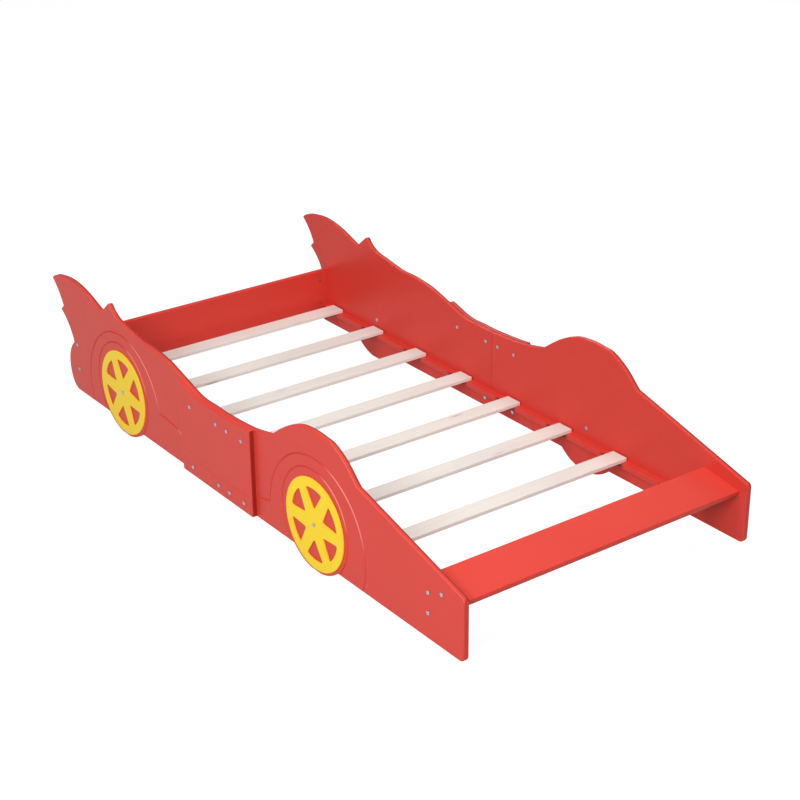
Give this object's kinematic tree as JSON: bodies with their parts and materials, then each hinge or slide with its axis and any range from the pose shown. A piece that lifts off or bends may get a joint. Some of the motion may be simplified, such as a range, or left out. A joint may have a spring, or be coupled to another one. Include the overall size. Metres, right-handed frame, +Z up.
{
  "type": "children's car bed",
  "caption": "Low child's bed shaped like a racing car: cut-out side panels, disc wheels, cover plates over the side seams, rear board, front hood and cross slats.",
  "frame": {"origin": "on the floor, under the middle of the bed", "axes": "+X to the nose, +Y to the car's left, +Z up"},
  "size_m": [2.2199, 1.0584, 0.4395],
  "materials": {
    "red_paint": "satin red lacquer over board",
    "yellow_paint": "satin yellow lacquer over thin board",
    "bare_wood": "bare planed pale softwood",
    "dowel_wood": "bare fluted hardwood",
    "bolt_steel": "zinc plated",
    "screw_steel": "zinc plated"
  },
  "bodies": {
    "bed": {"right_rear_side_panel": "red_paint", "right_front_side_panel": "red_paint", "right_cover_plate": "red_paint", "right_rear_slat_rail": "red_paint", "right_front_slat_rail": "red_paint", "right_plate_bolts": "bolt_steel", "right_plate_nuts": "bolt_steel", "right_rail_screws": "screw_steel", "left_rear_side_panel": "red_paint", "left_front_side_panel": "red_paint", "left_cover_plate": "red_paint", "left_rear_slat_rail": "red_paint", "left_front_slat_rail": "red_paint", "left_plate_bolts": "bolt_steel", "left_plate_nuts": "bolt_steel", "left_rail_screws": "screw_steel", "slat_1": "bare_wood", "slat_2": "bare_wood", "slat_3": "bare_wood", "slat_4": "bare_wood", "slat_5": "bare_wood", "slat_6": "bare_wood", "slat_7": "bare_wood", "rear_board": "red_paint", "hood_board": "red_paint", "hood_upright_board": "red_paint", "wheel_bolts": "bolt_steel", "wheel_nuts": "bolt_steel", "rear_board_bolts": "bolt_steel", "rear_board_cross_nuts": "bolt_steel", "front_board_bolts": "bolt_steel", "front_board_cross_nuts": "bolt_steel", "seam_dowels": "dowel_wood", "slat_dowels": "dowel_wood", "hood_dowels": "dowel_wood"},
    "right_front_wheel_body": {"right_front_wheel": "yellow_paint"},
    "left_front_wheel_body": {"left_front_wheel": "yellow_paint"},
    "right_rear_wheel_body": {"right_rear_wheel": "yellow_paint"},
    "left_rear_wheel_body": {"left_rear_wheel": "yellow_paint"}
  },
  "joints": [
    {"name": "right_front_wheel_spin", "type": "hinge", "parent": "bed", "child": "right_front_wheel_body", "pos_m": [0.4465, -0.5142, 0.1495], "axis": [0, 1, 0], "continuous": true},
    {"name": "left_front_wheel_spin", "type": "hinge", "parent": "bed", "child": "left_front_wheel_body", "pos_m": [0.4465, 0.5142, 0.1495], "axis": [0, 1, 0], "continuous": true},
    {"name": "right_rear_wheel_spin", "type": "hinge", "parent": "bed", "child": "right_rear_wheel_body", "pos_m": [-0.6525, -0.5142, 0.1495], "axis": [0, 1, 0], "continuous": true},
    {"name": "left_rear_wheel_spin", "type": "hinge", "parent": "bed", "child": "left_rear_wheel_body", "pos_m": [-0.6525, 0.5142, 0.1495], "axis": [0, 1, 0], "continuous": true}
  ]
}
